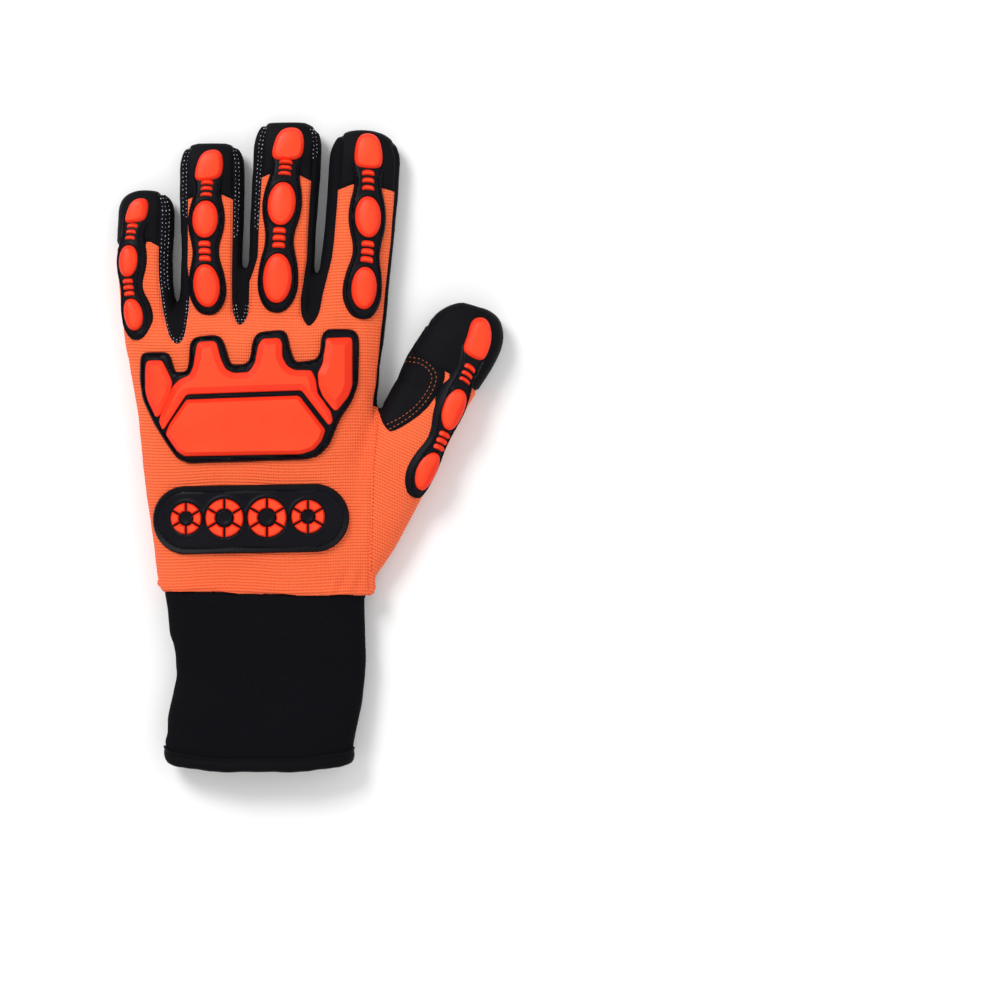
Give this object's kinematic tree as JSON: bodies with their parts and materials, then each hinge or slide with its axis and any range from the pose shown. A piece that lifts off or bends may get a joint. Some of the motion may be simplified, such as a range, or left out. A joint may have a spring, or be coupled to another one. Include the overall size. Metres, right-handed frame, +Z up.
{
  "type": "impact glove",
  "caption": "Left-hand work glove lying palm down: orange ribbed knit back, black leather palm, moulded guards over knuckles, fingers and wrist, long cuff with a pull tab.",
  "frame": {"origin": "on the flat underside of the palm, below the middle of the hand", "axes": "+Y towards the fingertips, +X towards the thumb, +Z up out of the back of the hand"},
  "size_m": [0.1748, 0.292, 0.028],
  "materials": {
    "knit": "ribbed stretch knit, bright orange",
    "palm_leather": "black synthetic leather, matt with fine grain",
    "fourchette_cloth": "black stretch cloth",
    "neoprene": "black neoprene with a cloth face",
    "binding_tape": "black woven binding",
    "black_rubber": "black moulded rubber, satin",
    "orange_rubber": "bright orange moulded rubber, satin",
    "window_film": "grey film"
  },
  "bodies": {
    "root": {"back_panel": "knit", "thumb_back": "knit", "palm_panel": "palm_leather", "thumb_palm": "palm_leather", "thumb_saddle": "palm_leather", "little_cap": "palm_leather", "ring_cap": "palm_leather", "middle_cap": "palm_leather", "index_cap": "palm_leather", "thumb_cap": "palm_leather", "fourchette_little_ring": "fourchette_cloth", "fourchette_ring_middle": "fourchette_cloth", "fourchette_middle_index": "fourchette_cloth", "cuff": "neoprene", "cuff_binding": "binding_tape", "pull_tab": "black_rubber", "knuckle_guard": "black_rubber", "wrist_guard": "black_rubber", "little_guard": "black_rubber", "ring_guard": "black_rubber", "middle_guard": "black_rubber", "index_guard": "black_rubber", "thumb_guard": "black_rubber", "id_window": "window_film", "pull_mark": "orange_rubber", "knuckle_crown": "orange_rubber", "knuckle_left_wing": "orange_rubber", "knuckle_right_wing": "orange_rubber", "knuckle_lower_block": "orange_rubber", "wrist_wheel_1": "orange_rubber", "wrist_wheel_2": "orange_rubber", "wrist_wheel_3": "orange_rubber", "wrist_wheel_4": "orange_rubber", "little_tip_pad": "orange_rubber", "little_upper_ribs": "orange_rubber", "little_joint_pad": "orange_rubber", "little_lower_ribs": "orange_rubber", "little_root_pad": "orange_rubber", "ring_tip_pad": "orange_rubber", "ring_upper_ribs": "orange_rubber", "ring_joint_pad": "orange_rubber", "ring_lower_ribs": "orange_rubber", "ring_root_pad": "orange_rubber", "middle_tip_pad": "orange_rubber", "middle_upper_ribs": "orange_rubber", "middle_joint_pad": "orange_rubber", "middle_lower_ribs": "orange_rubber", "middle_root_pad": "orange_rubber", "index_tip_pad": "orange_rubber", "index_upper_ribs": "orange_rubber", "index_joint_pad": "orange_rubber", "index_lower_ribs": "orange_rubber", "index_root_pad": "orange_rubber", "thumb_tip_pad": "orange_rubber", "thumb_upper_ribs": "orange_rubber", "thumb_joint_pad": "orange_rubber", "thumb_lower_ribs": "orange_rubber", "thumb_root_pad": "orange_rubber"}
  },
  "joints": []
}
